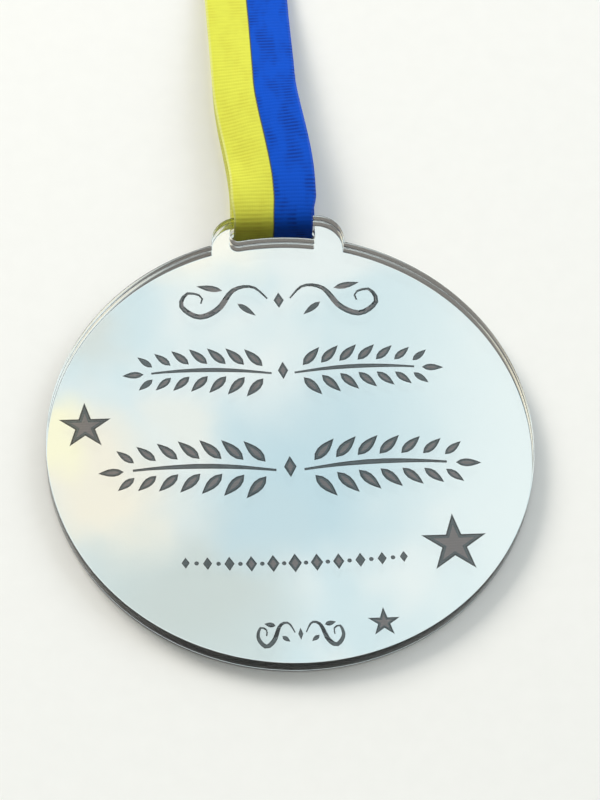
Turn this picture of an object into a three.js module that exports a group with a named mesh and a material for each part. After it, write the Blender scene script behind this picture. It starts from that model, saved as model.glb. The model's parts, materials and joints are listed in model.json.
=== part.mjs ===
// Academic medallion: a round mirrored acrylic disc with a slotted lug, lying face up on its neck ribbon.
// Millimetres. +Z comes up out of the face, +Y runs to the lug and the ribbon.
// The origin is the middle of the disc's back face.
import * as THREE from 'three';
import { mergeVertices } from 'three/addons/utils/BufferGeometryUtils.js';

// Disc
const DISC_D = 80;
const SHEET_T = 3;            // clear sheet, bond and mirror coat together
const COAT_T = 0.2;           // mirror film with its grey coat
const BOND_GAP = 0.3;         // between the clear sheet and the mirror coat
const DISC_STEPS = 200;

// Lug and slot
const LUG_W = 22.4;
const LUG_RISE = 3.8;         // beyond the disc's edge
const LUG_CORNER_R = 4.6;
const BAR_T = 2.2;            // bar between the slot and the lug's top
const SLOT_H = 2.0;
const SLOT_LEFT = 8.0;        // slot's ends, from the middle line
const SLOT_RIGHT = 6.3;
const SLOT_ROUND_R = 1.4;     // rounded end on the left
const SLOT_SQUARE_R = 0.3;    // squared end on the right
const CORNER_STEPS = 7;

// Ribbon
const RIBBON_W = 14.4;
const RIBBON_T = 0.45;
const RIBBON_LOOP = 850;      // all the way round the sewn loop
const RIBBON_REST_GAP = 0.3;  // to the bar that rests on it, and to the slot's walls
const LAYER_GAP = 0.3;        // between the two layers where they lie on each other
const TURN_R = 0.6;           // turn under the bar
const HUMP_H = 7.0;           // arch over the bar, above the floor
const HUMP_RUN = 10.5;        // from the slot to the top of the arch
const HUMP_FALL = 62;         // from the top of the arch to where it lies down again
const BIGHT_H = 13.5;         // open fold at the far end, above the floor
const BIGHT_RISE = 26;        // length over which the upper layer lifts into the fold
const DRIFT = 3.0;            // sideways sway of the ribbon, towards the left

// Marks in the mirror coat
const STAR_WAIST = 0.382;     // inner radius of a five-pointed star, as a share of its outer one
const CHAIN_DIP = 0.036;      // dip of the row of lozenges in its middle, as a share of its half length

// Worked out from the sizes above
const DISC_R = DISC_D / 2;
const CLEAR_T = SHEET_T - COAT_T - BOND_GAP;
const LUG_TOP = DISC_R + LUG_RISE;
const SLOT_TOP = LUG_TOP - BAR_T;
const SLOT_R = SLOT_TOP - SLOT_H;
const TILT = Math.asin((RIBBON_T + RIBBON_REST_GAP) / (DISC_R + SLOT_TOP));
const FLOOR_Z = -DISC_R * Math.sin(TILT);

const pointOn = (x, y, r, angle) => new THREE.Vector2(x + r * Math.cos(angle), y + r * Math.sin(angle));

function arc(x, y, r, from, to, steps) {
  const points = [];
  for (let i = 0; i <= steps; i += 1) points.push(pointOn(x, y, r, from + (to - from) * i / steps));
  return points;
}

// Disc and lug in one outline
function outline() {
  const half = LUG_W / 2;
  const join = Math.acos(half / DISC_R);
  const inX = half - LUG_CORNER_R;
  const inY = LUG_TOP - LUG_CORNER_R;
  return [
    ...arc(0, 0, DISC_R, Math.PI - join, 2 * Math.PI + join, DISC_STEPS),
    ...arc(inX, inY, LUG_CORNER_R, 0, Math.PI / 2, CORNER_STEPS),
    ...arc(-inX, inY, LUG_CORNER_R, Math.PI / 2, Math.PI, CORNER_STEPS),
  ];
}

// Slot's rounded end: middle of its lower rounding, and the rounding above it
function roundEnd() {
  const leftX = SLOT_ROUND_R - SLOT_LEFT;
  const leftY = Math.sqrt((SLOT_R + SLOT_ROUND_R) ** 2 - leftX ** 2);
  return { leftX, leftY, topR: SLOT_TOP - leftY };
}

// Slot: a straight top under the bar, a bottom that follows the disc's own curve
function slot() {
  const { leftX, leftY, topR } = roundEnd();
  const rightX = SLOT_RIGHT - SLOT_SQUARE_R;
  const rightY = Math.sqrt((SLOT_R + SLOT_SQUARE_R) ** 2 - rightX ** 2);
  const leftFoot = Math.atan2(leftY, leftX);
  const rightFoot = Math.atan2(rightY, rightX);
  return [
    ...arc(topR - SLOT_LEFT, leftY, topR, Math.PI / 2, Math.PI, CORNER_STEPS),
    ...arc(leftX, leftY, SLOT_ROUND_R, Math.PI, leftFoot + Math.PI, CORNER_STEPS).slice(1),
    ...arc(0, 0, SLOT_R, leftFoot, rightFoot, 2 * CORNER_STEPS).slice(1, -1),
    ...arc(rightX, rightY, SLOT_SQUARE_R, rightFoot - Math.PI, 0, CORNER_STEPS),
    ...arc(rightX, SLOT_TOP - SLOT_SQUARE_R, SLOT_SQUARE_R, 0, Math.PI / 2, CORNER_STEPS),
  ];
}

// Stars: middle and outer radius, as shares of the disc's radius
const STARS = [
  { name: 'left', x: -0.8375, y: 0.125, r: 0.1125 },
  { name: 'right', x: 0.64, y: -0.4675, r: 0.139 },
  { name: 'small', x: 0.331, y: -0.81, r: 0.0675 },
];

function star({ x, y, r }) {
  const points = [];
  for (let i = 0; i < 10; i += 1) {
    const reach = DISC_R * (i % 2 ? r * STAR_WAIST : r);
    points.push(pointOn(DISC_R * x, DISC_R * y, reach, Math.PI / 2 + i * Math.PI / 5));
  }
  return points;
}

// A pointed leaf from its foot, fuller towards the foot
function leaf(x, y, length, width, angle) {
  const steps = 5;
  const side = (sign) => {
    const points = [];
    for (let i = 0; i < steps; i += 1) {
      const t = i / steps;
      const half = sign * width / 2 * Math.sin(Math.PI * t ** 0.8);
      points.push(new THREE.Vector2(length * t, half));
    }
    return points;
  };
  const tip = new THREE.Vector2(length, 0);
  const ring = [...side(1), tip, ...side(-1).slice(1).reverse()];
  return ring.map((p) => p.rotateAround(new THREE.Vector2(), angle).add(new THREE.Vector2(x, y)));
}

const lozenge = (x, y, w, h) => [
  new THREE.Vector2(x - w / 2, y),
  new THREE.Vector2(x, y - h / 2),
  new THREE.Vector2(x + w / 2, y),
  new THREE.Vector2(x, y + h / 2),
];

const dot = (x, y, r) => arc(x, y, r, 0, 2 * Math.PI, 10).slice(1);

// A pen stroke along a curve, thick in the middle and fine at its ends
function stroke(way, fine, thick, steps) {
  const curve = new THREE.SplineCurve(way);
  const left = [];
  const right = [];
  for (let i = 0; i <= steps; i += 1) {
    const t = i / steps;
    const p = curve.getPointAt(t);
    const along = curve.getTangentAt(t);
    const half = (fine + (thick - fine) * Math.sin(Math.PI * t) ** 1.5) / 2;
    left.push(new THREE.Vector2(p.x - along.y * half, p.y + along.x * half));
    right.unshift(new THREE.Vector2(p.x + along.y * half, p.y - along.x * half));
  }
  return [...left, ...right];
}

// A laurel spray from its root outwards: an arched stem with leaves in pairs and one at the tip
function spray(x, y, reach, height, side, pairs) {
  const lift = height * 0.12;
  const stem = height * 0.045;
  const leafL = height * 0.56;
  const leafW = height * 0.2;
  const at = (t) => new THREE.Vector2(x + side * reach * t, y + lift * (4 * t * (1 - t) - 0.5));
  const way = [0, 0.25, 0.5, 0.75, 0.92].map((t) => at(t * 0.9));
  const marks = [stroke(way, stem, 2.2 * stem, 9)];
  for (let i = 0; i < pairs; i += 1) {
    const t = 0.06 + 0.76 * i / (pairs - 1);
    const foot = at(t);
    const size = 1 - 0.3 * (i / (pairs - 1)) ** 2;
    for (const up of [1, -1]) {
      const lean = up * (0.86 - 0.16 * i / (pairs - 1));
      const angle = side > 0 ? lean : Math.PI - lean;
      marks.push(leaf(foot.x, foot.y + up * 3.2 * stem, leafL * size, leafW * size, angle));
    }
  }
  const last = at(0.88);
  marks.push(leaf(last.x, last.y, leafL * 0.8, leafW * 0.8, side > 0 ? -0.05 : Math.PI + 0.05));
  return marks;
}

// A scroll from its root outwards: a long S of the pen with a curled end and a small leaf
function scroll(x, y, reach, height, side) {
  const shares = [
    { u: 0.00, v: 0.05 },
    { u: 0.16, v: 0.38 },
    { u: 0.38, v: 0.30 },
    { u: 0.56, v: -0.20 },
    { u: 0.78, v: -0.40 },
    { u: 0.97, v: -0.10 },
    { u: 0.90, v: 0.24 },
    { u: 0.74, v: 0.16 },
    { u: 0.75, v: -0.04 },
  ];
  const way = shares.map(({ u, v }) => new THREE.Vector2(x + side * reach * u, y + height * v));
  const turn = side > 0 ? 0 : Math.PI;
  return [
    stroke(way, height * 0.04, height * 0.15, 26),
    leaf(x + side * reach * 0.34, y - height * 0.06, reach * 0.26, height * 0.15, turn - side * 2.45),
    leaf(x + side * reach * 0.50, y + height * 0.30, reach * 0.30, height * 0.17, turn + side * 0.22),
  ];
}

// Rows of ornament across the face, as shares of the disc's radius
const ROWS = [
  { kind: 'scroll', x: -0.010, y: 0.705, half: 0.420, height: 0.180, gap: 0.0475 },
  { kind: 'spray', x: -0.010, y: 0.365, half: 0.650, height: 0.200, gap: 0.0475, pairs: 7 },
  { kind: 'spray', x: -0.005, y: -0.090, half: 0.765, height: 0.235, gap: 0.0575, pairs: 7 },
  { kind: 'chain', x: -0.010, y: -0.515, half: 0.485, height: 0.085, gap: 0, links: 11 },
  { kind: 'scroll', x: -0.005, y: -0.850, half: 0.175, height: 0.130, gap: 0.0225 },
];

function ornament(row) {
  const { kind, pairs, links } = row;
  const [x, y, half, height, gap] = ['x', 'y', 'half', 'height', 'gap'].map((key) => DISC_R * row[key]);
  if (kind === 'chain') {
    const pitch = 2 * half / links;
    const marks = [];
    for (let i = 0; i < links; i += 1) {
      const at = x - half + pitch * (i + 0.5);
      const size = 1 - 0.45 * Math.abs(2 * (i + 0.5) / links - 1);
      const dip = (u) => y - CHAIN_DIP * half * (1 - ((u - x) / half) ** 2);
      marks.push(lozenge(at, dip(at), pitch * 0.62 * size, height * size));
      if (i) marks.push(dot(at - pitch / 2, dip(at - pitch / 2), height * 0.11));
    }
    return marks;
  }
  const wing = (side) => (kind === 'spray'
    ? spray(x + side * gap, y, half - gap, height, side, pairs)
    : scroll(x + side * gap, y, half - gap, height, side));
  return [...wing(1), ...wing(-1), lozenge(x, y, gap * 0.9, height * 0.42)];
}

function plate(thickness, holes) {
  const shape = new THREE.Shape(outline());
  shape.holes = holes.map((ring) => new THREE.Path(ring));
  return new THREE.ExtrudeGeometry(shape, { depth: thickness, bevelEnabled: false });
}

// Ribbon: the way of its middle line, in Y and Z above the floor, all round the loop
function ribbonWay() {
  const low = RIBBON_T / 2;
  const high = low + RIBBON_T + LAYER_GAP;
  const slotY = SLOT_TOP * Math.cos(TILT) - RIBBON_REST_GAP - RIBBON_T / 2;
  const barTop = RIBBON_T + RIBBON_REST_GAP + SHEET_T;
  const topY = slotY + HUMP_RUN;
  const downY = topY + HUMP_FALL;
  const round = 0.5523;
  const v = (y, z) => new THREE.Vector3(0, y, z);
  const bend = (a, b, c, d) => new THREE.CubicBezierCurve3(a, b, c, d);
  const noseR = (BIGHT_H - low) / 2;
  const noseZ = low + noseR;
  const near = [
    bend(v(slotY + TURN_R, low), v(slotY + TURN_R * (1 - round), low),
      v(slotY, low + TURN_R * (1 - round)), v(slotY, low + TURN_R)),
    new THREE.LineCurve3(v(slotY, low + TURN_R), v(slotY, barTop)),
    bend(v(slotY, barTop), v(slotY, barTop + (HUMP_H - barTop) * 0.8),
      v(topY - HUMP_RUN * 0.62, HUMP_H), v(topY, HUMP_H)),
    bend(v(topY, HUMP_H), v(topY + HUMP_FALL * 0.38, HUMP_H),
      v(downY - HUMP_FALL * 0.42, high), v(downY, high)),
  ];
  const fold = (y) => {
    const crest = y + BIGHT_RISE;
    return [
      bend(v(y, high), v(y + BIGHT_RISE * 0.5, high), v(crest - BIGHT_RISE * 0.42, BIGHT_H), v(crest, BIGHT_H)),
      bend(v(crest, BIGHT_H), v(crest + noseR * round, BIGHT_H),
        v(crest + noseR, noseZ + noseR * round), v(crest + noseR, noseZ)),
      bend(v(crest + noseR, noseZ), v(crest + noseR, noseZ - noseR * round),
        v(crest + noseR * round, low), v(crest, low)),
    ];
  };
  const bent = [...near, ...fold(0)].reduce((sum, c) => sum + c.getLength(), 0);
  const farY = (RIBBON_LOOP - bent - BIGHT_RISE + slotY + TURN_R + downY) / 2;
  const way = new THREE.CurvePath();
  way.curves = [
    ...near,
    new THREE.LineCurve3(v(downY, high), v(farY, high)),
    ...fold(farY),
    new THREE.LineCurve3(v(farY + BIGHT_RISE, low), v(slotY + TURN_R, low)),
  ];
  return { way, slotY };
}

// How many sections each stretch of the way takes, in order round the loop
const SECTIONS = [4, 2, 10, 14, 12, 9, 7, 7, 16];

// Sway to the left: what there is at the slot and two long steps on the way out, as shares of DRIFT.
// The steps lie between distances from the slot, as shares of RIBBON_LOOP.
const SWAY_AT_SLOT = 0.153;
const SWAY_STEPS = [
  { from: 0.0088, to: 0.0353, share: 0.677 },
  { from: 0.0235, to: 0.0730, share: 0.170 },
];

function swayAt(distance) {
  const run = distance / RIBBON_LOOP;
  const shares = SWAY_STEPS.map(({ from, to, share }) => share * THREE.MathUtils.smoothstep(run, from, to));
  return -DRIFT * shares.reduce((sum, share) => sum + share, SWAY_AT_SLOT);
}

function ribbonGeometry() {
  const { way, slotY } = ribbonWay();
  const across = 4;
  const stations = [];
  way.curves.forEach((curve, k) => {
    for (let i = 0; i < SECTIONS[k]; i += 1) {
      const t = i / SECTIONS[k];
      const p = curve.getPoint(t);
      const along = curve.getTangent(t);
      stations.push({ p, along });
    }
  });
  const { topR } = roundEnd();
  const slotIn = topR - Math.sqrt(topR ** 2 - (topR - RIBBON_REST_GAP) ** 2) + RIBBON_REST_GAP - SLOT_LEFT;
  const slotOut = SLOT_RIGHT - RIBBON_REST_GAP;
  const middle = (slotIn + slotOut) / 2;
  const slotHalf = (slotOut - slotIn) / 2;
  const positions = [];
  for (const { p, along } of stations) {
    const away = Math.max(0, p.y - slotY);
    const near = THREE.MathUtils.smoothstep(away, 0.8, 5);
    const half = THREE.MathUtils.lerp(slotHalf, RIBBON_W / 2, near);
    const x = THREE.MathUtils.lerp(middle, swayAt(away), near);
    const slope = (swayAt(away + 0.5) - swayAt(away)) / 0.5 * near;
    const out = new THREE.Vector3(0, along.z, -along.y).multiplyScalar(RIBBON_T / 2);
    for (const face of [-1, 1]) {
      for (let j = 0; j <= across; j += 1) {
        const u = face * half * (2 * j / across - 1);
        positions.push(x + u, p.y - u * slope + face * out.y, p.z + face * out.z);
      }
    }
  }
  const ring = 2 * (across + 1);
  const index = [];
  for (let i = 0; i < stations.length; i += 1) {
    const here = i * ring;
    const next = ((i + 1) % stations.length) * ring;
    for (let j = 0; j < ring; j += 1) {
      const k = (j + 1) % ring;
      index.push(here + j, next + k, here + k, here + j, next + j, next + k);
    }
  }
  const geometry = new THREE.BufferGeometry();
  geometry.setAttribute('position', new THREE.Float32BufferAttribute(positions, 3));
  geometry.setIndex(index);
  return geometry;
}

function piece(name, geometry, colour, roughness, metalness) {
  geometry.deleteAttribute('normal');
  geometry.deleteAttribute('uv');
  const mesh = new THREE.Mesh(
    mergeVertices(geometry, 1e-4),
    new THREE.MeshStandardMaterial({ color: colour, roughness, metalness }),
  );
  mesh.name = name;
  return mesh;
}

const marks = [...STARS.map(star), ...ROWS.flatMap(ornament)];

const group = new THREE.Group();
group.name = 'academic_medallion';

const medal = new THREE.Group();
medal.name = 'medal';
medal.rotation.x = TILT;
group.add(medal);

medal.add(piece('mirror_backing', plate(COAT_T, [slot(), ...marks]), 0xd9e4e8, 0.05, 1));

const sheet = piece('clear_sheet', plate(CLEAR_T, [slot()]), 0xe6f1f3, 0.05, 0);
sheet.position.z = COAT_T + BOND_GAP;
medal.add(sheet);

const ribbon = piece('neck_ribbon', ribbonGeometry(), 0xdcdc50, 0.75, 0);
ribbon.position.z = FLOOR_Z;
group.add(ribbon);

export default group;
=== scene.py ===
# Academic medallion: a mirrored acrylic disc with engraved marks, lying face up on its neck ribbon.
# Metres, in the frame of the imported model: +Z comes up out of the face, +Y runs to the lug and the ribbon.
import json
import math

import bmesh
import bpy
from bpy.props import FloatProperty, FloatVectorProperty, IntProperty, PointerProperty
from mathutils import Matrix, Quaternion, Vector
from mathutils.geometry import interpolate_bezier


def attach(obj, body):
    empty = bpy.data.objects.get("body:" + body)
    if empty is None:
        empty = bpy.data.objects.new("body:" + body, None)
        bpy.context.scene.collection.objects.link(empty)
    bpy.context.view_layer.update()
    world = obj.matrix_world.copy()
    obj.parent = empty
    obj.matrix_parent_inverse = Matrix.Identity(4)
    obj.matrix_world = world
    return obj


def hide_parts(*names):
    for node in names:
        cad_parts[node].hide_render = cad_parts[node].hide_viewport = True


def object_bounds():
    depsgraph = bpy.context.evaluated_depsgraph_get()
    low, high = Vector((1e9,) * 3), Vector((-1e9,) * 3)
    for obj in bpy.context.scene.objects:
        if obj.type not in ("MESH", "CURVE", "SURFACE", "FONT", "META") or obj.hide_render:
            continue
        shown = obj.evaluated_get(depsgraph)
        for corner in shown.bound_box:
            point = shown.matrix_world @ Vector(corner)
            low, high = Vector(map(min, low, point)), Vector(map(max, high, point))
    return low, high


bl_info = {
    "name": "Academic Medallion",
    "version": (1, 0, 0),
    "blender": (4, 5, 0),
    "location": "View3D > Sidebar > Medallion",
    "description": "Builds a mirrored acrylic medallion, its engraved marks and its woven neck ribbon",
    "category": "Add Mesh",
}

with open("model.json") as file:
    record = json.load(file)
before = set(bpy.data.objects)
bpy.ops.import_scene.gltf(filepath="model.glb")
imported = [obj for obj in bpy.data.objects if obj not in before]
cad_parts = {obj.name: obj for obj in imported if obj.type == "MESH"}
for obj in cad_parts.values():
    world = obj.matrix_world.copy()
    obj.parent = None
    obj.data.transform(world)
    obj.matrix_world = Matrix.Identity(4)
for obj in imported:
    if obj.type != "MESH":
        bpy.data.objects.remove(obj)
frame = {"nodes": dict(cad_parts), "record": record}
cad_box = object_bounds()
floor_z = cad_box[0].z

# The medal leans back a little, because its lug rests on the ribbon
back_face = next(mount for mount in frame["record"]["mounts"] if mount["name"] == "back_face")
medal_turn = Vector((0, 0, 1)).rotation_difference(-Vector(back_face["axis"])).to_matrix().to_4x4()

SHARP = math.radians(30)    # an edge that folds more than this is drawn as a crease
SAME_POINT = 1e-6           # corners nearer than this are one
SAME_LEVEL = 1e-5           # and heights nearer than this are one level
MM = 1000                   # the weave's own coordinates are in millimetres


def linear(code):
    """Turns an sRGB hex colour into the linear colour that the shaders use."""
    parts = [int(code[i:i + 2], 16) / 255 for i in (1, 3, 5)]
    return (*(p / 12.92 if p <= 0.04045 else ((p + 0.055) / 1.055) ** 2.4 for p in parts), 1.0)


def darker(colour, share):
    """The same colour with only this share of its light."""
    return [c * share for c in colour[:3]] + [1]


# ---------------------------------------------------------------- Sizes and colours that a user would change

class AcrylicSettings(bpy.types.PropertyGroup):
    """Clear sheet, and the mirror film and lacquer behind it"""
    bond: FloatProperty(
        name="Bond", description="Left between the clear sheet and the mirror film",
        default=0.00002, unit="LENGTH", precision=5)
    edge_round: FloatProperty(
        name="Edge rounding", description="Melted rounding along the laser's cut",
        default=0.00014, unit="LENGTH", precision=5)
    tint: FloatVectorProperty(
        name="Sheet", description="Tint of the clear sheet", subtype="COLOR", size=4,
        default=linear("#fcfdfc"))
    film: FloatVectorProperty(
        name="Mirror film", description="Colour that the mirror film gives back", subtype="COLOR", size=4,
        default=linear("#f4f5f5"))
    paint: FloatVectorProperty(
        name="Backing paint", description="Grey paint that protects the film", subtype="COLOR", size=4,
        default=linear("#8b8d8e"))


class EngravingSettings(bpy.types.PropertyGroup):
    """Marks that the laser left"""
    depth: FloatProperty(
        name="Depth", description="Thickness of the frosted marks",
        default=0.00012, unit="LENGTH", precision=5)
    reach: FloatProperty(
        name="Reach", description="No mark comes nearer to the disc's edge than this, from the middle",
        default=0.0385, unit="LENGTH", precision=4)
    # Painted shade: the dark rim stands for the shade along the edge of each engraved mark
    rim: FloatProperty(
        name="Dark rim", description="Width of the scorched line round each mark",
        default=0.00024, unit="LENGTH", precision=5)
    # Painted shade: a lighter band of shade inside the dark rim of a broad mark
    painted_inner_shade_band: FloatProperty(
        name="Half-burnt band", description="Width of the darker band inside the rim of a broad mark",
        default=0.0004, unit="LENGTH", precision=5)
    # Marks narrower than this carry the lighter painted shade all over
    broad: FloatProperty(
        name="Broad mark", description="Marks narrower than this are half burnt all over",
        default=0.0007, unit="LENGTH", precision=5)
    fill: FloatVectorProperty(
        name="Fill", description="Frosted middle of a mark", subtype="COLOR", size=4,
        default=linear("#b9abac"))
    # Painted shade: the colour of that dark rim round each mark
    painted_rim_shade: FloatVectorProperty(
        name="Scorch", description="Edge of a mark", subtype="COLOR", size=4, default=linear("#252d31"))
    # Painted shade: the blue-grey colour of that lighter band
    painted_inner_shade: FloatVectorProperty(
        name="Half-burnt", description="Between the edge and the middle of a mark", subtype="COLOR", size=4,
        default=linear("#788287"))


class RibbonSettings(bpy.types.PropertyGroup):
    """Woven neck ribbon"""
    width: FloatProperty(
        name="Width", description="Ribbon's woven width", default=0.0144, unit="LENGTH", precision=4)
    thickness: FloatProperty(
        name="Thickness", description="Thickness of the weave", default=0.00045, unit="LENGTH", precision=5)
    loop: FloatProperty(
        name="Loop", description="Length all the way round", default=0.85, unit="LENGTH", precision=3)
    ribs: IntProperty(name="Ribs", description="Cross ribs in the whole loop", default=1214)
    groove: FloatProperty(
        name="Grooves", description="Thickness between two ribs, as a share of the ribs' own",
        default=0.80, subtype="FACTOR")
    columns: IntProperty(name="Columns", description="Mesh columns across the ribbon", default=12)
    edge_dip: FloatProperty(
        name="Edge dip", description="How far the left edge rolls down on the arch",
        default=0.0012, unit="LENGTH", precision=4)
    offset: FloatProperty(
        name="Lower layer", description="How far the lower layer lies to the right of the upper one",
        default=0.0003, unit="LENGTH", precision=5)
    ripple: FloatProperty(
        name="Ripple", description="Lift of the edges where the ribbon lies down",
        default=0.00025, unit="LENGTH", precision=5)
    left: FloatVectorProperty(
        name="Left half", description="Yellow yarn", subtype="COLOR", size=4, default=linear("#dddf50"))
    right: FloatVectorProperty(
        name="Right half", description="Blue yarn", subtype="COLOR", size=4, default=linear("#0550ca"))


class StageSettings(bpy.types.PropertyGroup):
    """Camera and floor"""
    azimuth: FloatProperty(
        name="Azimuth", description="Camera's turn round the medal", default=math.radians(-7.2),
        subtype="ANGLE")
    elevation: FloatProperty(
        name="Elevation", description="Camera's height above the floor", default=math.radians(60.5),
        subtype="ANGLE")
    roll: FloatProperty(
        name="Roll", description="Camera's turn round its own line of sight", default=math.radians(4.6),
        subtype="ANGLE")
    distance: FloatProperty(
        name="Distance", description="From the camera to the middle of the disc", default=0.6, unit="LENGTH")
    lens: FloatProperty(name="Lens", description="Focal length", default=164.3, unit="CAMERA")
    shift_x: FloatProperty(name="Shift X", description="Framing to the side", default=0.0125)
    shift_y: FloatProperty(name="Shift Y", description="Framing upwards", default=0.0637)
    floor: FloatVectorProperty(
        name="Floor", description="Plain pale floor", subtype="COLOR", size=4, default=linear("#f4f4f2"))


# ---------------------------------------------------------------- Helpers

def add_node(tree, kind, sockets=None, **settings):
    """Adds one node with its settings, and gives each named socket a value or a link."""
    node = tree.nodes.new("ShaderNode" + kind)
    for name, value in settings.items():
        setattr(node, name, value)
    for name, value in (sockets or {}).items():
        if isinstance(value, bpy.types.NodeSocket):
            tree.links.new(value, node.inputs[name])
        else:
            node.inputs[name].default_value = value
    return node


def new_material(name):
    """An empty node material and its tree."""
    material = bpy.data.materials.new(name)
    material.use_nodes = True
    material.node_tree.nodes.clear()
    return material, material.node_tree


def finish_material(tree, surface):
    """Sends the shader to the material's output."""
    add_node(tree, "OutputMaterial", {"Surface": surface.outputs[0]})


def cad_copy(name):
    """The node's solid with its corners merged and the medal's lean taken out."""
    shape = bmesh.new()
    shape.from_mesh(frame["nodes"][name].data)
    bmesh.ops.transform(shape, matrix=medal_turn.inverted(), verts=shape.verts)
    bmesh.ops.remove_doubles(shape, verts=shape.verts, dist=SAME_POINT)
    shape.normal_update()
    return shape


def flat_face(face):
    """True for a face of the polished front or back, however thin the triangle."""
    heights = [v.co.z for v in face.verts]
    return max(heights) - min(heights) < SAME_LEVEL


def new_piece(name, shape, materials, nodes, turn=None):
    """Makes the bmesh into an object that rides with the medallion and stands for the given nodes."""
    if turn:
        bmesh.ops.transform(shape, matrix=turn, verts=shape.verts)
    for edge in shape.edges:
        edge.smooth = len(edge.link_faces) == 2 and edge.calc_face_angle(0) < SHARP
    mesh = bpy.data.meshes.new(name)
    shape.to_mesh(mesh)
    shape.free()
    for material in materials:
        mesh.materials.append(material)
    piece = bpy.data.objects.new(name, mesh)
    bpy.context.scene.collection.objects.link(piece)
    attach(piece, "root")
    if nodes:
        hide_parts(*nodes)
    return piece


# ---------------------------------------------------------------- Materials
# In a Mix node for colours, input 0 is the share, 6 and 7 are the two colours, and output 2 is the blend.

def cast_acrylic(settings):
    """Cast acrylic (PMMA), polished by the casting glass: water clear, with a bright skin and no grain."""
    material, tree = new_material("cast_acrylic_clear")
    surface = add_node(tree, "BsdfPrincipled", {
        "Base Color": settings.tint, "Roughness": 0.0, "IOR": 1.49, "Transmission Weight": 1.0})
    finish_material(tree, surface)
    return material


def laser_cut_acrylic(settings):
    """The same acrylic where the laser cut it: glossy, with fine upright lines from the beam's pulses."""
    material, tree = new_material("laser_cut_acrylic_edge")
    place = add_node(tree, "TexCoord")
    # The lines are about 0.15 mm apart, drawn at 0.5 mm so that they show, and run up the edge
    upright = add_node(tree, "Mapping", {"Vector": place.outputs["Object"], "Scale": (2000, 2000, 90)})
    lines = add_node(tree, "TexNoise", {"Vector": upright.outputs[0], "Scale": 1.0, "Detail": 1.5})
    bump = add_node(tree, "Bump", {"Height": lines.outputs["Fac"], "Strength": 0.35, "Distance": 0.00003})
    surface = add_node(tree, "BsdfPrincipled", {
        "Base Color": settings.tint, "Roughness": 0.08, "IOR": 1.49, "Transmission Weight": 1.0,
        "Normal": bump.outputs[0]})
    finish_material(tree, surface)
    return material


def mirror_film(settings):
    """Aluminium film laid on in vacuum: a silver mirror, a little uneven over a few centimetres."""
    material, tree = new_material("vacuum_metallised_film")
    place = add_node(tree, "TexCoord")
    swell = add_node(tree, "TexNoise", {"Vector": place.outputs["Object"], "Scale": 28.0, "Detail": 1.0})
    bump = add_node(tree, "Bump", {"Height": swell.outputs["Fac"], "Strength": 1.0, "Distance": 0.00006})
    surface = add_node(tree, "BsdfPrincipled", {
        "Base Color": settings.film, "Metallic": 1.0, "Roughness": 0.015, "Normal": bump.outputs[0]})
    finish_material(tree, surface)
    return material


def backing_paint(settings):
    """Grey lacquer rolled over the film: dull, with a fine orange-peel grain."""
    material, tree = new_material("rolled_grey_lacquer")
    place = add_node(tree, "TexCoord")
    grain = add_node(tree, "TexNoise", {"Vector": place.outputs["Object"], "Scale": 1800.0, "Detail": 3.0})
    tone = add_node(tree, "Mix", {
        0: grain.outputs["Fac"], 6: darker(settings.paint, 0.82), 7: settings.paint}, data_type="RGBA")
    bump = add_node(tree, "Bump", {"Height": grain.outputs["Fac"], "Strength": 0.3, "Distance": 0.00002})
    surface = add_node(tree, "BsdfPrincipled", {
        "Base Color": tone.outputs[2], "Roughness": 0.62, "Normal": bump.outputs[0]})
    finish_material(tree, surface)
    return material


def frosted_mark(name, colour, dark):
    """What a raster laser has burnt: a matt frost in fine lines, darker where the beam turned."""
    material, tree = new_material(name)
    place = add_node(tree, "TexCoord")
    # The raster's lines are 0.1 mm apart, drawn at 0.5 mm so that they show
    raster = add_node(tree, "TexWave", {
        "Vector": place.outputs["Object"], "Scale": 640.0, "Distortion": 1.5, "Detail": 1.0},
        bands_direction="Y")
    frost = add_node(tree, "TexNoise", {"Vector": place.outputs["Object"], "Scale": 900.0, "Detail": 4.0})
    both = add_node(tree, "Math", {0: raster.outputs["Fac"], 1: frost.outputs["Fac"]}, operation="MULTIPLY")
    tone = add_node(tree, "Mix", {
        0: both.outputs[0], 6: darker(colour, dark), 7: colour}, data_type="RGBA")
    bump = add_node(tree, "Bump", {"Height": both.outputs[0], "Strength": 0.5, "Distance": 0.00003})
    surface = add_node(tree, "BsdfPrincipled", {
        "Base Color": tone.outputs[2], "Roughness": 0.55, "Normal": bump.outputs[0]})
    finish_material(tree, surface)
    return material


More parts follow.
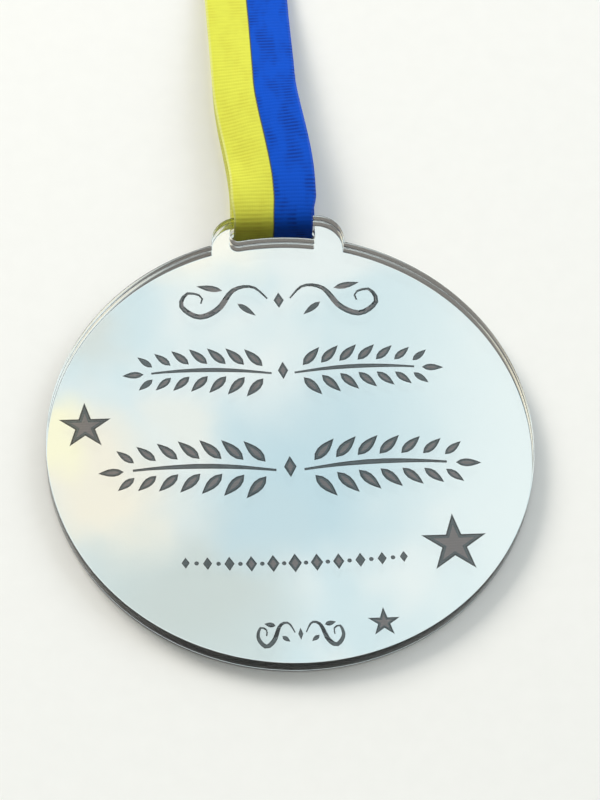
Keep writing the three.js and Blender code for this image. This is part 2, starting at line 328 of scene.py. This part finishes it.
def woven_polyester(settings):
    """Grosgrain of dyed polyester, woven with round cross ribs: soft sheen, painted shade between the ribs,
    pale selvedges.
    """
    material, tree = new_material("woven_polyester_grosgrain")
    place = add_node(tree, "UVMap", uv_map="weave").outputs[0]
    axes = add_node(tree, "SeparateXYZ", {0: place})
    across, along = axes.outputs[0], axes.outputs[1]
    half = settings.width / 2 * MM

    def yarn_rows(position, pitch):
        """1 on the crest of each yarn and 0 between two."""
        turns = add_node(tree, "Math", {0: position, 1: math.tau / pitch}, operation="MULTIPLY")
        swing = add_node(tree, "Math", {0: turns.outputs[0]}, operation="COSINE")
        return add_node(tree, "MapRange", {"Value": swing.outputs[0], "From Min": -1.0}).outputs[0]

    # Cross ribs 0.7 mm apart, over warp threads 0.2 mm apart that are drawn at 0.4 mm so that they show
    rib = yarn_rows(along, settings.loop * MM / settings.ribs)
    thread = yarn_rows(across, 0.4)
    # Single weft yarns run darker or lighter for a few millimetres, and in whole patches the painted shade
    # between the ribs is stronger
    tone, groove_shade_patches = (
        add_node(tree, "TexNoise", {
            "Vector": add_node(tree, "Mapping", {"Vector": place, "Scale": stretch}).outputs[0],
            "Scale": 1.0, "Detail": 2.0}).outputs["Fac"]
        for stretch in ((0.45, 1.4, 1), (0.3, 0.13, 1)))

    # Where the blue half is, where the selvedges are, and what is clear of the thin dark join
    join = 0.1
    off_middle = add_node(tree, "Math", {0: across}, operation="ABSOLUTE").outputs[0]
    from_join = add_node(tree, "Math", {0: across, 1: join}, operation="SUBTRACT").outputs[0]
    off_join = add_node(tree, "Math", {0: from_join}, operation="ABSOLUTE").outputs[0]
    blue, selvedge, clear_of_join = (
        add_node(tree, "MapRange", {
            "Value": distance, "From Min": low, "From Max": high},
            interpolation_type="SMOOTHSTEP").outputs[0]
        for distance, low, high in (
            (across, join - 0.1, join + 0.1), (off_middle, half - 0.5, half - 0.2), (off_join, 0.0, 0.22)))

    # The selvedges are paler, the yellow one the most
    dyed = add_node(tree, "Mix", {
        0: blue, 6: settings.left, 7: settings.right}, data_type="RGBA").outputs[2]
    bleach = add_node(tree, "MapRange", {"Value": blue, "To Min": 0.25, "To Max": 0.03}).outputs[0]
    pale = add_node(tree, "Mix", {0: bleach, 6: dyed, 7: linear("#e8ecd8")}, data_type="RGBA").outputs[2]
    edged = add_node(tree, "Mix", {0: selvedge, 6: dyed, 7: pale}, data_type="RGBA").outputs[2]
    joined = add_node(tree, "Mix", {
        0: clear_of_join, 6: linear("#3f4a46"), 7: edged}, data_type="RGBA").outputs[2]

    # Painted shade between the ribs: a darker colour in each groove, stronger on the dark yarn than on the
    # light one, and in some places than in others
    painted_groove_shade = add_node(tree, "Mix", {
        0: blue, 6: linear("#c4b93a"), 7: linear("#062c84")}, data_type="RGBA").outputs[2]
    most = add_node(tree, "MapRange", {"Value": blue, "To Min": 0.38, "To Max": 0.75}).outputs[0]
    share = add_node(tree, "MapRange", {
        "Value": groove_shade_patches, "From Min": 0.42, "From Max": 0.64, "To Min": 0.0, "To Max": most},
        interpolation_type="SMOOTHSTEP").outputs[0]
    # Between the ribs the colour is mixed towards the painted shade; on each crest it is the yarn's own
    shaded = add_node(tree, "Mix", {0: share, 6: joined, 7: painted_groove_shade}, data_type="RGBA").outputs[2]
    ribbed = add_node(tree, "Mix", {0: rib, 6: shaded, 7: joined}, data_type="RGBA").outputs[2]

    # Some yarns are a little darker
    dulled = add_node(tree, "Mix", {
        0: 0.14, 6: ribbed, 7: linear("#202428")}, data_type="RGBA").outputs[2]
    worn = add_node(tree, "Mix", {0: tone, 6: dulled, 7: ribbed}, data_type="RGBA").outputs[2]
    weave = add_node(tree, "Math", {0: thread, 1: 0.2, 2: tone}, operation="MULTIPLY_ADD").outputs[0]
    bump = add_node(tree, "Bump", {"Height": weave, "Strength": 0.6, "Distance": 0.00002})
    surface = add_node(tree, "BsdfPrincipled", {
        "Base Color": worn, "Roughness": 0.6, "Specular IOR Level": 0.12, "Sheen Weight": 0.03,
        "Sheen Roughness": 0.4, "Normal": bump.outputs[0]})
    finish_material(tree, surface)
    return material


# ---------------------------------------------------------------- Disc

SAME_FACE = math.radians(0.4)   # triangles that turn less than this are one face
UPRIGHT = 0.05                  # a wall's normal rises less than this
RIM_MOST = 0.22                 # of a narrow mark's breadth, for its dark rim of painted edge shade
INNER_SHADE_MOST = 0.28          # of a broad mark's breadth, for its inner band of painted shade
MARK_SINK = 0.00001             # from the film's face down to the marks' face


class MEDALLION_OT_acrylic_sheet(bpy.types.Operator):
    """Clear front sheet with its melted edges, lying on the mirror film"""
    bl_idname = "medallion.acrylic_sheet"
    bl_label = "Acrylic sheet"

    def execute(self, context):
        settings = context.scene.medallion_acrylic
        shape = cad_copy("clear_sheet")
        bmesh.ops.dissolve_limit(
            shape, angle_limit=SAME_FACE, verts=shape.verts, edges=shape.edges,
            use_dissolve_boundaries=False)
        top = max(v.co.z for v in shape.verts)
        film = cad_copy("mirror_backing")
        underside = max(v.co.z for v in film.verts) + settings.bond
        film.free()
        for vert in shape.verts:
            vert.co.z = top if vert.co.z > top - SAME_LEVEL else underside
        shape.normal_update()
        rim = [e for e in shape.edges if sum(map(flat_face, e.link_faces)) == 1]
        bmesh.ops.bevel(
            shape, geom=rim, offset=settings.edge_round, segments=2, profile=0.5, affect="EDGES",
            material=-1)
        for vert in shape.verts:
            nearest = min((top, underside), key=lambda level: abs(level - vert.co.z))
            if abs(nearest - vert.co.z) < SAME_LEVEL:
                vert.co.z = nearest
        shape.normal_update()
        for face in shape.faces:
            face.smooth = not flat_face(face)
            face.material_index = int(abs(face.normal.z) < UPRIGHT)
        new_piece(
            "acrylic_sheet", shape, [cast_acrylic(settings), laser_cut_acrylic(settings)],
            ["clear_sheet"], medal_turn)
        return {"FINISHED"}


class MEDALLION_OT_mirror_coat(bpy.types.Operator):
    """Mirror film and its grey lacquer, with the marks cut out of them"""
    bl_idname = "medallion.mirror_coat"
    bl_label = "Mirror coat"

    def execute(self, context):
        settings = context.scene.medallion_acrylic
        shape = cad_copy("mirror_backing")
        for face in shape.faces:
            face.smooth = not flat_face(face)
            # Film above, lacquer below, and the burnt wall of each cut
            face.material_index = 0 if face.normal.z > 0.5 else 1 if face.normal.z < -0.5 else 2
        new_piece(
            "mirror_coat", shape,
            [mirror_film(settings), backing_paint(settings),
             frosted_mark("laser_burnt_lacquer", linear("#24211f"), 0.6)],
            ["mirror_backing"], medal_turn)
        return {"FINISHED"}


class MEDALLION_OT_laser_marks(bpy.types.Operator):
    """Frosted stars and ornament that fill the cut-outs of the mirror coat"""
    bl_idname = "medallion.laser_marks"
    bl_label = "Laser marks"

    def execute(self, context):
        settings = context.scene.medallion_engraving
        shape = cad_copy("mirror_backing")
        top = max(v.co.z for v in shape.verts)
        # Without its flat faces the coat is a wall round the disc, round the slot and round each mark,
        # and only the upper edges of the marks' walls are kept
        bmesh.ops.delete(shape, geom=[f for f in shape.faces if flat_face(f)], context="FACES")
        outer = [f for f in shape.faces if any(v.co.xy.length > settings.reach for v in f.verts)]
        bmesh.ops.delete(shape, geom=outer, context="FACES")
        lower = [v for v in shape.verts if v.co.z < top - SAME_LEVEL]
        bmesh.ops.delete(shape, geom=lower, context="VERTS")
        bmesh.ops.edgeloop_fill(shape, edges=shape.edges[:])
        for face in shape.faces:
            if face.normal.z < 0:
                face.normal_flip()
        for mark in shape.faces[:]:
            breadth = 2 * mark.calc_area() / mark.calc_perimeter()
            # The dark rim of painted edge shade, no wider than a share of the mark's breadth
            bands = [(min(settings.rim, RIM_MOST * breadth), 1)]
            # A broad mark also gets an inner band of lighter painted shade; a narrow one is painted in that
            # shade all over
            if breadth > settings.broad:
                bands.append((min(settings.painted_inner_shade_band, INNER_SHADE_MOST * breadth), 2))
            else:
                mark.material_index = 2
            for width, tone in bands:
                rims = bmesh.ops.inset_individual(
                    shape, faces=[mark], thickness=width, depth=0, use_even_offset=True)
                for face in rims["faces"]:
                    face.material_index = tone
        copied = bmesh.ops.extrude_face_region(shape, geom=shape.faces[:], use_keep_orig=True)["geom"]
        below = [v for v in copied if isinstance(v, bmesh.types.BMVert)]
        bmesh.ops.translate(shape, vec=(0, 0, -settings.depth), verts=below)
        bmesh.ops.translate(shape, vec=(0, 0, -MARK_SINK), verts=shape.verts)
        bmesh.ops.recalc_face_normals(shape, faces=shape.faces)
        new_piece(
            "laser_marks", shape,
            [frosted_mark("laser_frosted_acrylic", settings.fill, 0.8),
             frosted_mark("laser_frost_painted_rim_shade", settings.painted_rim_shade, 0.7),
             frosted_mark("laser_frost_painted_inner_shade", settings.painted_inner_shade, 0.75)],
            [], medal_turn)
        return {"FINISHED"}


# ---------------------------------------------------------------- Ribbon

# The way of the ribbon's middle line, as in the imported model
REST_GAP = 0.0003        # to the bar that rests on it
LAYER_GAP = 0.0003       # between the two layers where they lie on each other
SLOT_TOP = 0.0416        # upper edge of the slot, from the disc's middle
SHEET_T = 0.003          # clear sheet, bond and mirror coat together
TURN_R = 0.0006          # turn under the bar
ARCH_H = 0.007           # arch over the bar, above the floor
ARCH_RUN = 0.0105        # from the slot to the top of the arch
ARCH_FALL = 0.062        # from the top of the arch to where it lies down again
FOLD_H = 0.0135          # open fold at the far end, above the floor
FOLD_RISE = 0.026        # length over which the upper layer lifts into the fold
QUARTER_PULL = 0.5523    # handle that makes a curve a quarter of a circle, as a share of its radius
BEND_STEPS = 200         # each curve is cut into these to measure it
FINE_STEPS = 400         # and into these to lay the mesh along it
SLOT_MIDDLE = -0.000667  # middle of what the slot leaves for the ribbon
SLOT_ROOM = 0.013333     # and its width
OPENS = (0.0008, 0.005)  # distances from the slot between which the ribbon spreads to its width
DRIFT = 0.003            # sideways sway, towards the left

# What sway there is at the slot, and two long steps on the way out: where each starts and ends, and its share
SWAY_AT_SLOT = 0.153
SWAY_STEPS = [(0.0075, 0.030, 0.677), (0.020, 0.062, 0.170)]
SLOPE_STEP = 0.0005      # step over which the sway's slope is taken

# Where the ribbon departs from that way: a stretch over which it starts to, and one over which it stops
ARCH_END = 0.09                               # round the loop from the slot
DIP_ALONG = (0.044, 0.056), (0.060, 0.088)    # distances from the disc's middle
DIP_ACROSS = (-0.1, 1.0)                      # from just right of the middle to the left edge
DIP_PULL = 0.2                                # how far the dip draws the middle aside, as a share of it
RIPPLE_ALONG = (0.09, 0.12), (0.37, 0.40)     # round the loop, on the upper layer
OFFSET_STARTS = (0.45, 0.5)                   # round the loop, in the far fold
OFFSET_STOPS = (0.02, 0.002)                  # before the loop closes, under the arch
SHORT_SWELL, LONG_SWELL = 118, 41             # radians a metre: a swell every 53 mm and every 153 mm
SWELL_SKEW, SWELL_START = 1.7, 0.6            # radians

# Mesh of the weave
ROWS_PER_RIB = 3         # one on the crest of each rib and two in the groove
EDGE_CROWDING = 0.25     # how much narrower the outer mesh columns are
SELVEDGE_FROM = 0.93     # share of the half width where the ribbon begins to thin
SELVEDGE_THINNING = 0.45


def smooth(value, low=0.0, high=1.0):
    """Eases from 0 at the low value to 1 at the high one."""
    t = min(1.0, max(0.0, (value - low) / (high - low)))
    return t * t * (3 - 2 * t)


def between(value, starts, stops):
    """Eases from 0 to 1 over the first stretch, and back to 0 over the second."""
    return smooth(value, *starts) * (1 - smooth(value, *stops))


def ribbon_way(settings):
    """Stretches of the middle line all round the loop, each a curve in Y and Z above the floor."""
    low = settings.thickness / 2
    high = low + settings.thickness + LAYER_GAP
    slot_y = SLOT_TOP * medal_turn[2][2] - REST_GAP - low
    bar_top = settings.thickness + REST_GAP + SHEET_T
    top_y = slot_y + ARCH_RUN
    down_y = top_y + ARCH_FALL
    nose_r = (FOLD_H - low) / 2
    nose_z = low + nose_r

    def bend(*points):
        return [Vector((0, y, z)) for y, z in points]

    def line(y0, z0, y1, z1):
        return bend((y0, z0), (y0 + (y1 - y0) / 3, z0 + (z1 - z0) / 3),
                    (y0 + (y1 - y0) * 2 / 3, z0 + (z1 - z0) * 2 / 3), (y1, z1))

    # Each bend has its two ends and, between them, two handles given as shares of its length
    near = [
        bend((slot_y + TURN_R, low), (slot_y + TURN_R * (1 - QUARTER_PULL), low),
             (slot_y, low + TURN_R * (1 - QUARTER_PULL)), (slot_y, low + TURN_R)),
        line(slot_y, low + TURN_R, slot_y, bar_top),
        bend((slot_y, bar_top), (slot_y, bar_top + (ARCH_H - bar_top) * 0.8),
             (top_y - ARCH_RUN * 0.62, ARCH_H), (top_y, ARCH_H)),
        bend((top_y, ARCH_H), (top_y + ARCH_FALL * 0.38, ARCH_H),
             (down_y - ARCH_FALL * 0.42, high), (down_y, high)),
    ]

    def fold(y):
        crest = y + FOLD_RISE
        tip = crest + nose_r
        return [
            bend((y, high), (y + FOLD_RISE * 0.5, high), (crest - FOLD_RISE * 0.42, FOLD_H),
                 (crest, FOLD_H)),
            bend((crest, FOLD_H), (crest + nose_r * QUARTER_PULL, FOLD_H),
                 (tip, nose_z + nose_r * QUARTER_PULL), (tip, nose_z)),
            bend((tip, nose_z), (tip, nose_z - nose_r * QUARTER_PULL), (crest + nose_r * QUARTER_PULL, low),
                 (crest, low)),
        ]

    # Both layers are straight between the near end and the fold, and take up what the loop has left
    bent = sum(length_of(points_on(stretch, BEND_STEPS)) for stretch in near + fold(0))
    far_y = (settings.loop - bent - FOLD_RISE + slot_y + TURN_R + down_y) / 2
    return [
        *near,
        line(down_y, high, far_y, high),
        *fold(far_y),
        line(far_y + FOLD_RISE, low, slot_y + TURN_R, low),
    ], slot_y


def points_on(stretch, steps):
    """Points along one curve, at equal steps of its own measure."""
    return interpolate_bezier(*stretch, steps + 1)


def length_of(points):
    """Length of the line through the points."""
    return sum((b - a).length for a, b in zip(points, points[1:]))


def evenly_spaced(stretches, count):
    """Points at equal distances all round the loop."""
    fine = [point for stretch in stretches for point in points_on(stretch, FINE_STEPS)[:-1]]
    fine.append(fine[0])
    step = length_of(fine) / count
    points, run = [], 0.0
    for start, end in zip(fine, fine[1:]):
        gap = (end - start).length
        while len(points) < count and len(points) * step < run + gap:
            points.append(start.lerp(end, (len(points) * step - run) / gap))
        run += gap
    return points


def spread(side):
    """Moves the mesh columns outwards, so that the selvedge has a narrow one."""
    return side * (1 + EDGE_CROWDING - EDGE_CROWDING * side * side)


def sway_at(distance):
    """How far the ribbon's middle lies to the side, at a distance from the slot."""
    steps = sum(share * smooth(distance, start, end) for start, end, share in SWAY_STEPS)
    return -DRIFT * (SWAY_AT_SLOT + steps)


class MEDALLION_OT_woven_ribbon(bpy.types.Operator):
    """Neck ribbon: one woven loop through the slot, laid out flat in two layers"""
    bl_idname = "medallion.woven_ribbon"
    bl_label = "Woven ribbon"

    def execute(self, context):
        settings = context.scene.medallion_ribbon
        stretches, slot_y = ribbon_way(settings)
        count = settings.ribs * ROWS_PER_RIB
        points = evenly_spaced(stretches, count)
        shape = bmesh.new()
        weave = shape.loops.layers.uv.new("weave")
        bmesh.ops.create_grid(shape, x_segments=settings.columns, y_segments=count, size=0.5, calc_uvs=True)
        for face in shape.faces:
            face.smooth = True
            for corner in face.loops:
                across, along = corner[weave].uv
                corner[weave].uv = (
                    spread(across * 2 - 1) * settings.width / 2 * MM, along * settings.loop * MM)
        for vert in shape.verts:
            row = round((vert.co.y + 0.5) * count)
            vert.co = self.place(settings, points, row, spread(vert.co.x * 2), slot_y)
        bmesh.ops.remove_doubles(shape, verts=shape.verts, dist=SAME_POINT)
        bmesh.ops.recalc_face_normals(shape, faces=shape.faces)
        bmesh.ops.translate(shape, vec=(0, 0, floor_z), verts=shape.verts)
        piece = new_piece(
            "woven_ribbon", shape, [woven_polyester(settings)], ["neck_ribbon"])
        self.thicken(piece, settings)
        return {"FINISHED"}

    def place(self, settings, points, row, side, slot_y):
        """Where the ribbon's middle layer is, at a row of the way and a share of its half width."""
        count = len(points)
        here = points[row % count]
        along = (points[(row + 1) % count] - points[(row - 1) % count]).normalized()
        out = Vector((0, -along.z, along.y))
        run = row % count / count * settings.loop
        away = max(0.0, here.y - slot_y)
        free = smooth(away, *OPENS)
        half = SLOT_ROOM / 2 + (settings.width - SLOT_ROOM) / 2 * free
        middle = SLOT_MIDDLE + (sway_at(away) - SLOT_MIDDLE) * free
        slope = (sway_at(away + SLOPE_STEP) - sway_at(away)) / SLOPE_STEP * free
        across = side * half
        spot = Vector((middle + across, here.y - across * slope, here.z))
        # The left half rolls down on the arch, which draws the middle a little to the left
        if run < ARCH_END:
            dip = between(here.y, *DIP_ALONG)
            spot.z -= settings.edge_dip * dip * smooth(-side, *DIP_ACROSS)
            spot.x -= settings.edge_dip * DIP_PULL * dip * (1 - side * side)
        # The lower layer lies a little to the right, under the arch
        stops = [settings.loop - left for left in OFFSET_STOPS]
        spot.x += settings.offset * between(run, OFFSET_STARTS, stops)
        # The upper layer's edges lift a little, now here and now there
        short = math.sin(run * SHORT_SWELL + side * SWELL_SKEW)
        swell = 0.5 + 0.5 * short * math.sin(run * LONG_SWELL + SWELL_START)
        spot += out * (settings.ripple * between(run, *RIPPLE_ALONG) * swell * side * side)
        return spot

    def thicken(self, piece, settings):
        """Gives the ribbon its thickness and its ribs, both finer towards the selvedges."""
        body = piece.vertex_groups.new(name="body")
        weave = piece.data.uv_layers["weave"].data
        row_length = settings.loop * MM / (settings.ribs * ROWS_PER_RIB)
        for loop in piece.data.loops:
            across, along = weave[loop.index].uv
            side = abs(across) / (settings.width / 2 * MM)
            rib = 1 if round(along / row_length) % ROWS_PER_RIB == 0 else settings.groove
            full = 1 - SELVEDGE_THINNING * smooth(side, SELVEDGE_FROM, 1.0)
            body.add([loop.vertex_index], rib * full, "REPLACE")
        solid = piece.modifiers.new("thickness", "SOLIDIFY")
        solid.thickness = settings.thickness
        solid.offset = 0
        solid.vertex_group = "body"
        solid.use_rim = True


# ---------------------------------------------------------------- Stage

FLOOR_REACH = 3          # half its width
FLOOR_GAP = 0.00002      # under the ribbon
SKY_STRENGTH = 1.12

# Clouds in front of the camera, which the disc mirrors: direction, reach and colour, each over those before
CLOUDS = [
    # To both sides, where only the disc's edges show them
    ((-0.36, 0.34, 0.87), 0.30, "#fff6dc"),
    ((0.45, 0.12, 0.88), 0.26, "#fdf2da"),
    # Blue and grey shade
    ((0.066, 0.467, 0.882), 0.039, "#c6dee7"),
    ((0.030, 0.437, 0.899), 0.042, "#cfd9d7"),
    ((0.051, 0.457, 0.888), 0.024, "#c8dee6"),
    ((0.003, 0.503, 0.864), 0.024, "#dbe2df"),
    # Pale and cream light
    ((0.036, 0.480, 0.877), 0.016, "#ecf0ec"),
    ((0.007, 0.465, 0.885), 0.027, "#f7f1e2"),
    ((-0.001, 0.474, 0.880), 0.014, "#fffbdc"),
    ((0.043, 0.524, 0.851), 0.021, "#fffdf2"),
]
DARK_CLOUD = ((0.42, -0.30, 0.86), 0.28, "#3d3935")   # behind the camera


def studio_world(scene):
    """Soft surroundings: a bright, thinly clouded side in front of the camera and a dull one behind it."""
    world = bpy.data.worlds.new("studio")
    world.use_nodes = True
    tree = world.node_tree
    tree.nodes.clear()
    way = add_node(tree, "TexCoord").outputs["Generated"]
    axes = add_node(tree, "SeparateXYZ", {0: way})

    # Ragged cloud edges: each direction is pushed about by a noise before it is measured
    gusts = add_node(tree, "TexNoise", {"Vector": way, "Scale": 34.0, "Detail": 3.0})
    push = 0.035
    ragged = add_node(tree, "VectorMath", {
        0: gusts.outputs["Color"], 1: (push, push, push), 2: way}, operation="MULTIPLY_ADD").outputs[0]
    ragged = add_node(tree, "VectorMath", {
        0: ragged, 1: (push / 2, push / 2, push / 2)}, operation="SUBTRACT").outputs[0]

    def cloud(sky, point, reach, tint):
        """Lays one soft-edged cloud over the sky."""
        gap = add_node(tree, "VectorMath", {0: ragged, 1: point}, operation="DISTANCE").outputs["Value"]
        cover = add_node(tree, "MapRange", {
            "Value": gap, "From Min": reach, "From Max": reach * 0.2}, interpolation_type="SMOOTHSTEP")
        return add_node(tree, "Mix", {
            0: cover.outputs[0], 6: sky, 7: linear(tint)}, data_type="RGBA").outputs[2]

    # The dull side lies behind the camera and a little to its left, and doesn't reach overhead
    wisps = add_node(tree, "TexNoise", {"Vector": way, "Scale": 26.0, "Detail": 3.0, "Roughness": 0.5})
    front = add_node(tree, "VectorMath", {0: way, 1: (0.42, 0.905, 0.0)}, operation="DOT_PRODUCT")
    wispy, right, raised, in_front, overhead = (
        add_node(tree, "MapRange", {
            "Value": value, "From Min": low, "From Max": high}, interpolation_type="SMOOTHSTEP").outputs[0]
        for value, low, high in (
            (wisps.outputs["Fac"], 0.36, 0.64), (axes.outputs["X"], 0.080, 0.130),
            (axes.outputs["Z"], 0.20, 0.75), (front.outputs["Value"], -0.08, 0.22),
            (axes.outputs["Z"], 0.95, 0.99)))
    sky = add_node(tree, "Mix", {
        0: wispy, 6: linear("#d7e9ee"), 7: linear("#ecf3f3")}, data_type="RGBA").outputs[2]
    sky = add_node(tree, "Mix", {0: right, 6: sky, 7: linear("#ecf6f7")}, data_type="RGBA").outputs[2]
    for spot in CLOUDS:
        sky = cloud(sky, *spot)
    dull = add_node(tree, "Mix", {
        0: raised, 6: linear("#6e6a66"), 7: linear("#7b7671")}, data_type="RGBA").outputs[2]
    dull = cloud(dull, *DARK_CLOUD)
    room = add_node(tree, "Mix", {0: in_front, 6: dull, 7: sky}, data_type="RGBA").outputs[2]
    room = add_node(tree, "Mix", {0: overhead, 6: room, 7: sky}, data_type="RGBA").outputs[2]
    light = add_node(tree, "Background", {"Color": room, "Strength": SKY_STRENGTH})
    add_node(tree, "OutputWorld", {"Surface": light.outputs[0]})
    scene.world = world


def softbox(name, place, size, watts, colour):
    """A square lamp that faces the middle of the disc."""
    data = bpy.data.lights.new(name, "AREA")
    data.shape = "SQUARE"
    data.size = size
    data.energy = watts
    data.color = linear(colour)[:3]
    lamp = bpy.data.objects.new(name, data)
    lamp.matrix_world = (
        Matrix.Translation(place) @ Vector(place).to_track_quat("Z", "Y").to_matrix().to_4x4())
    # The mirror shows the sky and not the lamp, which would drown the marks
    lamp.visible_glossy = False
    lamp.visible_transmission = False
    bpy.context.scene.collection.objects.link(lamp)


class MEDALLION_OT_stage(bpy.types.Operator):
    """Pale floor, soft light and the camera"""
    bl_idname = "medallion.stage"
    bl_label = "Stage"

    def execute(self, context):
        settings = context.scene.medallion_stage
        shape = bmesh.new()
        bmesh.ops.create_grid(shape, x_segments=8, y_segments=8, size=FLOOR_REACH)
        bmesh.ops.translate(shape, vec=(0, 0, floor_z - FLOOR_GAP), verts=shape.verts)
        mesh = bpy.data.meshes.new("floor")
        shape.to_mesh(mesh)
        shape.free()
        material, tree = new_material("matt_painted_board")
        place = add_node(tree, "TexCoord")
        grain = add_node(tree, "TexNoise", {"Vector": place.outputs["Object"], "Scale": 300.0, "Detail": 3.0})
        tone = add_node(tree, "Mix", {
            0: grain.outputs["Fac"], 6: linear("#f0f0ee"), 7: settings.floor}, data_type="RGBA")
        surface = add_node(tree, "BsdfPrincipled", {"Base Color": tone.outputs[2], "Roughness": 0.85})
        finish_material(tree, surface)
        mesh.materials.append(material)
        floor = bpy.data.objects.new("floor", mesh)
        context.scene.collection.objects.link(floor)

        studio_world(context.scene)
        softbox("key_softbox", (-0.75, 0.95, 0.80), size=0.7, watts=16.0, colour="#fff8ee")
        softbox("fill_softbox", (1.1, 0.7, 0.9), size=0.9, watts=5.0, colour="#f2f6ff")

        data = bpy.data.cameras.new("camera")
        data.sensor_width = 36
        data.lens = settings.lens
        data.shift_x = settings.shift_x
        data.shift_y = settings.shift_y
        data.clip_start = 0.01
        data.clip_end = 20
        camera = bpy.data.objects.new("camera", data)
        level = math.cos(settings.elevation)
        back = Vector((
            math.sin(settings.azimuth) * level, -math.cos(settings.azimuth) * level,
            math.sin(settings.elevation)))
        look = (-back).to_track_quat("-Z", "Y") @ Quaternion((0, 0, 1), settings.roll)
        camera.matrix_world = Matrix.Translation(back * settings.distance) @ look.to_matrix().to_4x4()
        context.scene.collection.objects.link(camera)
        context.scene.camera = camera
        context.scene.view_settings.view_transform = "Standard"
        return {"FINISHED"}


# ---------------------------------------------------------------- Add-on

OPERATORS = [
    MEDALLION_OT_stage,
    MEDALLION_OT_mirror_coat,
    MEDALLION_OT_laser_marks,
    MEDALLION_OT_acrylic_sheet,
    MEDALLION_OT_woven_ribbon,
]


class MEDALLION_PT_parts(bpy.types.Panel):
    """Lists the medallion's pieces in the sidebar"""
    bl_idname = "MEDALLION_PT_parts"
    bl_label = "Academic medallion"
    bl_space_type = "VIEW_3D"
    bl_region_type = "UI"
    bl_category = "Medallion"

    def draw(self, context):
        for operator in OPERATORS:
            self.layout.operator(operator.bl_idname)


SETTINGS = {
    "medallion_acrylic": AcrylicSettings,
    "medallion_engraving": EngravingSettings,
    "medallion_ribbon": RibbonSettings,
    "medallion_stage": StageSettings,
}


def register():
    for kind in [*SETTINGS.values(), *OPERATORS, MEDALLION_PT_parts]:
        bpy.utils.register_class(kind)
    for name, kind in SETTINGS.items():
        setattr(bpy.types.Scene, name, PointerProperty(type=kind))


def unregister():
    for name in SETTINGS:
        delattr(bpy.types.Scene, name)
    for kind in reversed([*SETTINGS.values(), *OPERATORS, MEDALLION_PT_parts]):
        bpy.utils.unregister_class(kind)


def main():
    register()
    for operator in OPERATORS:
        group, name = operator.bl_idname.split(".")
        getattr(getattr(bpy.ops, group), name)()


if __name__ == "__main__":
    main()
